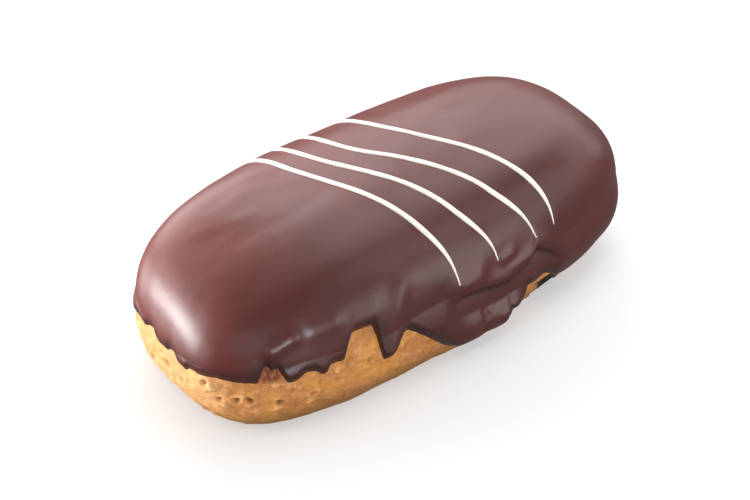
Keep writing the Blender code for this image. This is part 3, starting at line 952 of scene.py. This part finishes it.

# %% [markdown]
# ## The crust's finish
#
# Baked choux is golden where it stood proud in the oven, and browner in its pits, partly as its own colour
# and partly as painted shade. It is dry, so it hardly shines. The colour is built up in layers: golden
# patches over tan, lumps painted brown as painted shade where low and pale as painted highlight where high,
# blisters paler partly as painted highlight, cream painted on the near end as painted light, brown in the
# pits that the mesh carries, and a darker brown towards the base. There is a red stain in the notch where a
# thin film of icing lies on the crust, and the void under the icing near the far end is painted nearly
# black as painted shadow.

# %% Crust finish
TAN = (0.500, 0.198, 0.056, 1.0)
GOLD = (0.630, 0.268, 0.064, 1.0)
ROSY = (0.540, 0.215, 0.085, 1.0)
# Pale, used partly as painted highlight on the high lumps and on the blisters.
PALE_AND_HIGHLIGHT = (0.820, 0.480, 0.190, 1.0)
# Pits are browner partly as the crust's own colour and partly as painted shade; the low parts of the lumps
# get it too.
PIT_BROWN_AND_SHADE = (0.160, 0.060, 0.010, 1.0)
# Painted shadow: the near black laid in the hollow under the far icing.
VOID_PAINTED_SHADOW = (0.006, 0.003, 0.002, 1.0)
BASE_BROWN = (0.230, 0.105, 0.032, 1.0)
# Painted light: the cream laid on the brightly lit near end.
LIT_NEAR_END_CREAM = (0.600, 0.380, 0.170, 1.0)
STAIN_RED = (0.150, 0.022, 0.014, 1.0)
PATCH_SIZE, PATCH_RANGE = 5.0, (0.38, 0.62)
ROSY_SIZE, ROSY_RANGE, ROSY_SHARE, ROSY_SHIFT = 3.5, (0.50, 0.68), 0.7, (0.05, 0.0, 0.0)
LUMP_SIZE, LUMP_ROUGHNESS = 1.2, 0.6
# Lumps are painted brown as painted shade where they are low, and pale as painted highlight where they are
# high.
LUMP_SHADE_RANGE, LUMP_SHADE_SHARE = (0.46, 0.30), 0.45
LUMP_HIGHLIGHT_RANGE, LUMP_HIGHLIGHT_SHARE = (0.54, 0.72), 0.5
BLISTER_RANGE, BLISTER_SHARE = (0.05, 0.28), 0.6
LIT_NEAR_END_RANGE, LIT_NEAR_END_SHARE = (-35.0, -40.0), 0.5
PIT_RANGE, PIT_SHARE = (0.10, 0.60), 0.9
BASE_RANGE, BASE_SHARE, BASE_WAVER = (5.5, 0.6), 0.8, 3.0
DRIP_STRETCH, DRIP_SIZE, DRIP_RANGE = (1.0, 1.0, 0.3), 0.6, (0.25, 0.5)
CRUST_ROUGHNESS, CRUST_UNEVEN_GLOSS, CRUST_GLOSS_SIZE = 0.62, 0.2, 2.0
SKIN_GRAIN_SIZE, SKIN_FINE_GRAIN_SIZE, CRUST_BUMP = 0.5, 0.2, 0.22
CRUST_SPECULAR = 0.3


def crust_finish():
    """Golden crust in layers of colour, darker towards its base, browner in its pits partly as painted
    shade, with painted shade and painted highlight on its lumps, blisters paler partly as painted
    highlight, painted light at the near end and painted shadow in the void.
    """
    material, finish, shader = new_finish("baked choux crust")
    place = place_wire(finish)
    patches = between(finish, grain(finish, place, PATCH_SIZE, 3.0), *PATCH_RANGE)
    colour = blend(finish, patches, TAN, GOLD)
    elsewhere = place_wire(finish, shift=ROSY_SHIFT)
    rosy = between(finish, grain(finish, elsewhere, ROSY_SIZE, 3.0), *ROSY_RANGE)
    colour = blend(finish, rosy * ROSY_SHARE, colour, ROSY)
    lumps = grain(finish, place, LUMP_SIZE, 3.0, LUMP_ROUGHNESS)
    # Painted shade on the low parts of the lumps and painted highlight on the high parts
    colour = blend(finish, between(finish, lumps, *LUMP_SHADE_RANGE) * LUMP_SHADE_SHARE, colour, PIT_BROWN_AND_SHADE)
    colour = blend(finish, between(finish, lumps, *LUMP_HIGHLIGHT_RANGE) * LUMP_HIGHLIGHT_SHARE, colour, PALE_AND_HIGHLIGHT)
    # Paler on the blisters and pit rims: partly the crust's own colour, partly painted highlight.
    blisters = between(finish, attribute(finish, "blister"), *BLISTER_RANGE)
    colour = blend(finish, blisters * BLISTER_SHARE, colour, PALE_AND_HIGHLIGHT)
    # Painted light: the near end, where the light falls brightest, is painted cream.
    along = finish.node("ShaderNodeSeparateXYZ", {}, {0: place}, "X")
    colour = blend(finish, between_mm(finish, along, *LIT_NEAR_END_RANGE) * LIT_NEAR_END_SHARE, colour, LIT_NEAR_END_CREAM)
    # Browner in the pits: partly the crust's own colour, partly painted shade.
    pits = between(finish, attribute(finish, "pit"), *PIT_RANGE)
    colour = blend(finish, pits * PIT_SHARE, colour, PIT_BROWN_AND_SHADE)
    height = finish.node("ShaderNodeSeparateXYZ", {}, {0: place}, "Z")
    ragged = height + (grain(finish, place, BASE_WAVER) - 0.5) * (BASE_WAVER * MM)
    base = between_mm(finish, ragged, *BASE_RANGE)
    colour = blend(finish, base * BASE_SHARE, colour, BASE_BROWN)
    drawn_down = place_wire(finish, stretch=DRIP_STRETCH)
    drips = between(finish, grain(finish, drawn_down, DRIP_SIZE), *DRIP_RANGE)
    colour = blend(finish, attribute(finish, "stain") * drips, colour, STAIN_RED)
    # Painted shadow: the hollow under the far icing is painted nearly black.
    colour = blend(finish, attribute(finish, "void"), colour, VOID_PAINTED_SHADOW)
    finish.tree.links.new(colour.socket, shader.inputs["Base Color"])
    gloss = CRUST_ROUGHNESS + (grain(finish, place, CRUST_GLOSS_SIZE) - 0.5) * CRUST_UNEVEN_GLOSS
    finish.tree.links.new(gloss.socket, shader.inputs["Roughness"])
    wrinkles = grain(finish, place, SKIN_GRAIN_SIZE, 3.0, LUMP_ROUGHNESS)
    skin = lumps * 0.6 + wrinkles * 0.3 + grain(finish, place, SKIN_FINE_GRAIN_SIZE) * 0.1
    raise_surface(finish, shader, skin, CRUST_BUMP)
    shader.inputs["Specular IOR Level"].default_value = CRUST_SPECULAR
    return material


bun.data.materials.append(crust_finish())
print("the bun has its baked crust")

# %% [markdown]
# ## The floor and the light
#
# The eclair stands on a white floor that fades into a white background. Satin icing shows whatever stands
# round it, so many soft panels ring the eclair, each as bright as the sheen on the side it faces. The
# brightest two are low at the near end and make the highlight there, and small low ones in front lay the
# faint streaks along the side. Two fills without a highlight only lighten the colours. The floor glows a
# little so that it stays white, but it isn't seen in the icing and bounces no light, as on a darker table.
# Some of the studio's own light then comes from below, and a dark card just under the floor holds it off
# the far part of the eclair, whose side stays deep brown.

# %% Floor
FLOOR_HALF_WIDTH = 3000.0
FLOOR_GREY, FLOOR_ROUGHNESS = 0.50, 0.9
FLOOR_GLOW = 0.42


def stage_sheet(name, shape, finish_name, grey, roughness):
    """Makes a flat shape into a dull grey sheet for the stage, and returns the sheet and its shader."""
    mesh = bpy.data.meshes.new(name)
    shape.to_mesh(mesh)
    shape.free()
    sheet = bpy.data.objects.new(name, mesh)
    bpy.context.scene.collection.objects.link(sheet)
    material, _, shader = new_finish(finish_name)
    shader.inputs["Base Color"].default_value = (grey, grey, grey, 1.0)
    shader.inputs["Roughness"].default_value = roughness
    shader.inputs["Specular IOR Level"].default_value = 0.0
    mesh.materials.append(material)
    return sheet, shader


floor_shape = bmesh.new()
bmesh.ops.create_grid(floor_shape, x_segments=1, y_segments=1, size=FLOOR_HALF_WIDTH * MM)
floor, floor_shader = stage_sheet("floor", floor_shape, "white floor", FLOOR_GREY, FLOOR_ROUGHNESS)
floor_shader.inputs["Emission Color"].default_value = (1.0, 1.0, 1.0, 1.0)
floor_shader.inputs["Emission Strength"].default_value = FLOOR_GLOW
floor.visible_glossy = False
floor.visible_diffuse = False
floor.visible_shadow = False
print("the floor is", 2.0 * FLOOR_HALF_WIDTH / 1000.0, "m wide")

# %% Dark card
CARD_RADIUS, CARD_SIDES = 120.0, 64
CARD_PLACE = Vector((60.0, -20.0, -1.0))
CARD_GREY, CARD_ROUGHNESS = 0.04, 1.0

card_shape = bmesh.new()
bmesh.ops.create_circle(card_shape, cap_ends=True, segments=CARD_SIDES, radius=CARD_RADIUS * MM)
card, _ = stage_sheet("dark_card", card_shape, "dark card", CARD_GREY, CARD_ROUGHNESS)
card.location = CARD_PLACE * MM
card.visible_camera = False
card.visible_glossy = False
card.visible_shadow = False
print("the card is", 2.0 * CARD_RADIUS, "mm across")

# %% Lights
LIGHT_AIM = Vector((0.0, 0.0, 12.0))
LIGHT_DISTANCE = 600.0

# Name, azimuth and elevation in degrees as seen from the eclair, size, power in watts
LIGHTS = (
    ("near_end_strip", -112.0, -8.0, 260.0, 2.9),
    ("near_end_light", -124.0, 3.0, 230.0, 3.0),
    ("near_end_panel", -135.0, 10.0, 400.0, 1.2),
    ("left_low_panel", -154.0, -12.0, 260.0, 0.7),
    ("left_panel", 180.0, 12.0, 400.0, 1.4),
    ("back_left_panel", 157.0, 35.0, 400.0, 1.25),
    ("left_high_panel", -157.0, 35.0, 400.0, 0.6),
    ("back_high_panel", 144.0, 62.0, 400.0, 0.65),
    ("back_panel", 124.0, 22.0, 400.0, 0.7),
    ("far_end_back_panel", 105.0, 45.0, 300.0, 0.55),
    ("far_end_panel", 88.0, 15.0, 400.0, 0.65),
    ("far_end_high_panel", 72.0, 62.0, 400.0, 0.8),
    ("front_right_panel", 47.0, 10.0, 400.0, 0.6),
    ("front_high_panel", 30.0, 35.0, 300.0, 0.3),
    ("front_far_panel", 27.0, -9.0, 240.0, 0.6),
    ("front_near_panel", -12.0, -4.0, 200.0, 0.95),
    ("front_near_strip", -12.0, -13.0, 110.0, 0.6),
    ("front_left_panel", -45.0, 10.0, 400.0, 0.4),
    ("top_panel", 0.0, 88.0, 400.0, 0.25),
    ("front_fill", -25.0, 22.0, 400.0, 0.4),
    ("near_fill", -80.0, 60.0, 400.0, 0.8),
)
NO_HIGHLIGHT = ("front_fill", "near_fill")
COOL = ("front_near_strip", "front_left_panel")
COOL_WHITE = (0.86, 0.93, 1.0)
WORLD_BRIGHTNESS = 0.21


def direction(azimuth, elevation):
    """The direction from the eclair to a place seen at this azimuth and elevation. Azimuth 0 is -Y."""
    turn, rise = math.radians(azimuth), math.radians(elevation)
    return Vector((math.sin(turn) * math.cos(rise), -math.cos(turn) * math.cos(rise), math.sin(rise)))


def aim_from(thing, place, aim):
    """Puts a light or a camera at a place, turned to look at an aim."""
    thing.location = place * MM
    thing.rotation_euler = (aim - place).to_track_quat("-Z", "Y").to_euler()
    bpy.context.scene.collection.objects.link(thing)


for name, azimuth, elevation, size, power in LIGHTS:
    lamp = bpy.data.lights.new(name, "AREA")
    lamp.shape = "DISK"
    lamp.size = size * MM
    lamp.energy = power
    if name in COOL:
        lamp.color = COOL_WHITE
    light = bpy.data.objects.new(name, lamp)
    light.visible_glossy = name not in NO_HIGHLIGHT
    aim_from(light, LIGHT_AIM + direction(azimuth, elevation) * LIGHT_DISTANCE, LIGHT_AIM)

world = bpy.data.worlds.new("studio")
world.use_nodes = True
sky = world.node_tree.nodes["Background"]
sky.inputs["Color"].default_value = (1.0, 1.0, 1.0, 1.0)
sky.inputs["Strength"].default_value = WORLD_BRIGHTNESS
bpy.context.scene.world = world
bpy.context.scene.view_settings.view_transform = "Standard"
print("lit by", len(LIGHTS), "soft lights")

# %% [markdown]
# ## The camera
#
# The picture is taken from the near end's corner, about 40 degrees up, with a long lens that keeps the
# two ends of the eclair nearly the same size.

# %% Camera
VIEW_AZIMUTH = -36.71
VIEW_ELEVATION = 40.01
VIEW_DISTANCE = 358.1
VIEW_AIM = Vector((-2.54, -0.90, 11.12)) + STEP_INTO_PLACE
LENS, SENSOR_WIDTH = 114.0, 36.0
NEAREST_SEEN, FURTHEST_SEEN = 10.0, 10000.0

camera_data = bpy.data.cameras.new("camera")
camera_data.lens = LENS
camera_data.sensor_width = SENSOR_WIDTH
camera_data.clip_start = NEAREST_SEEN * MM
camera_data.clip_end = FURTHEST_SEEN * MM
camera = bpy.data.objects.new("camera", camera_data)
aim_from(camera, VIEW_AIM + direction(VIEW_AZIMUTH, VIEW_ELEVATION) * VIEW_DISTANCE, VIEW_AIM)
bpy.context.scene.camera = camera
print("the camera is", VIEW_DISTANCE, "mm away")
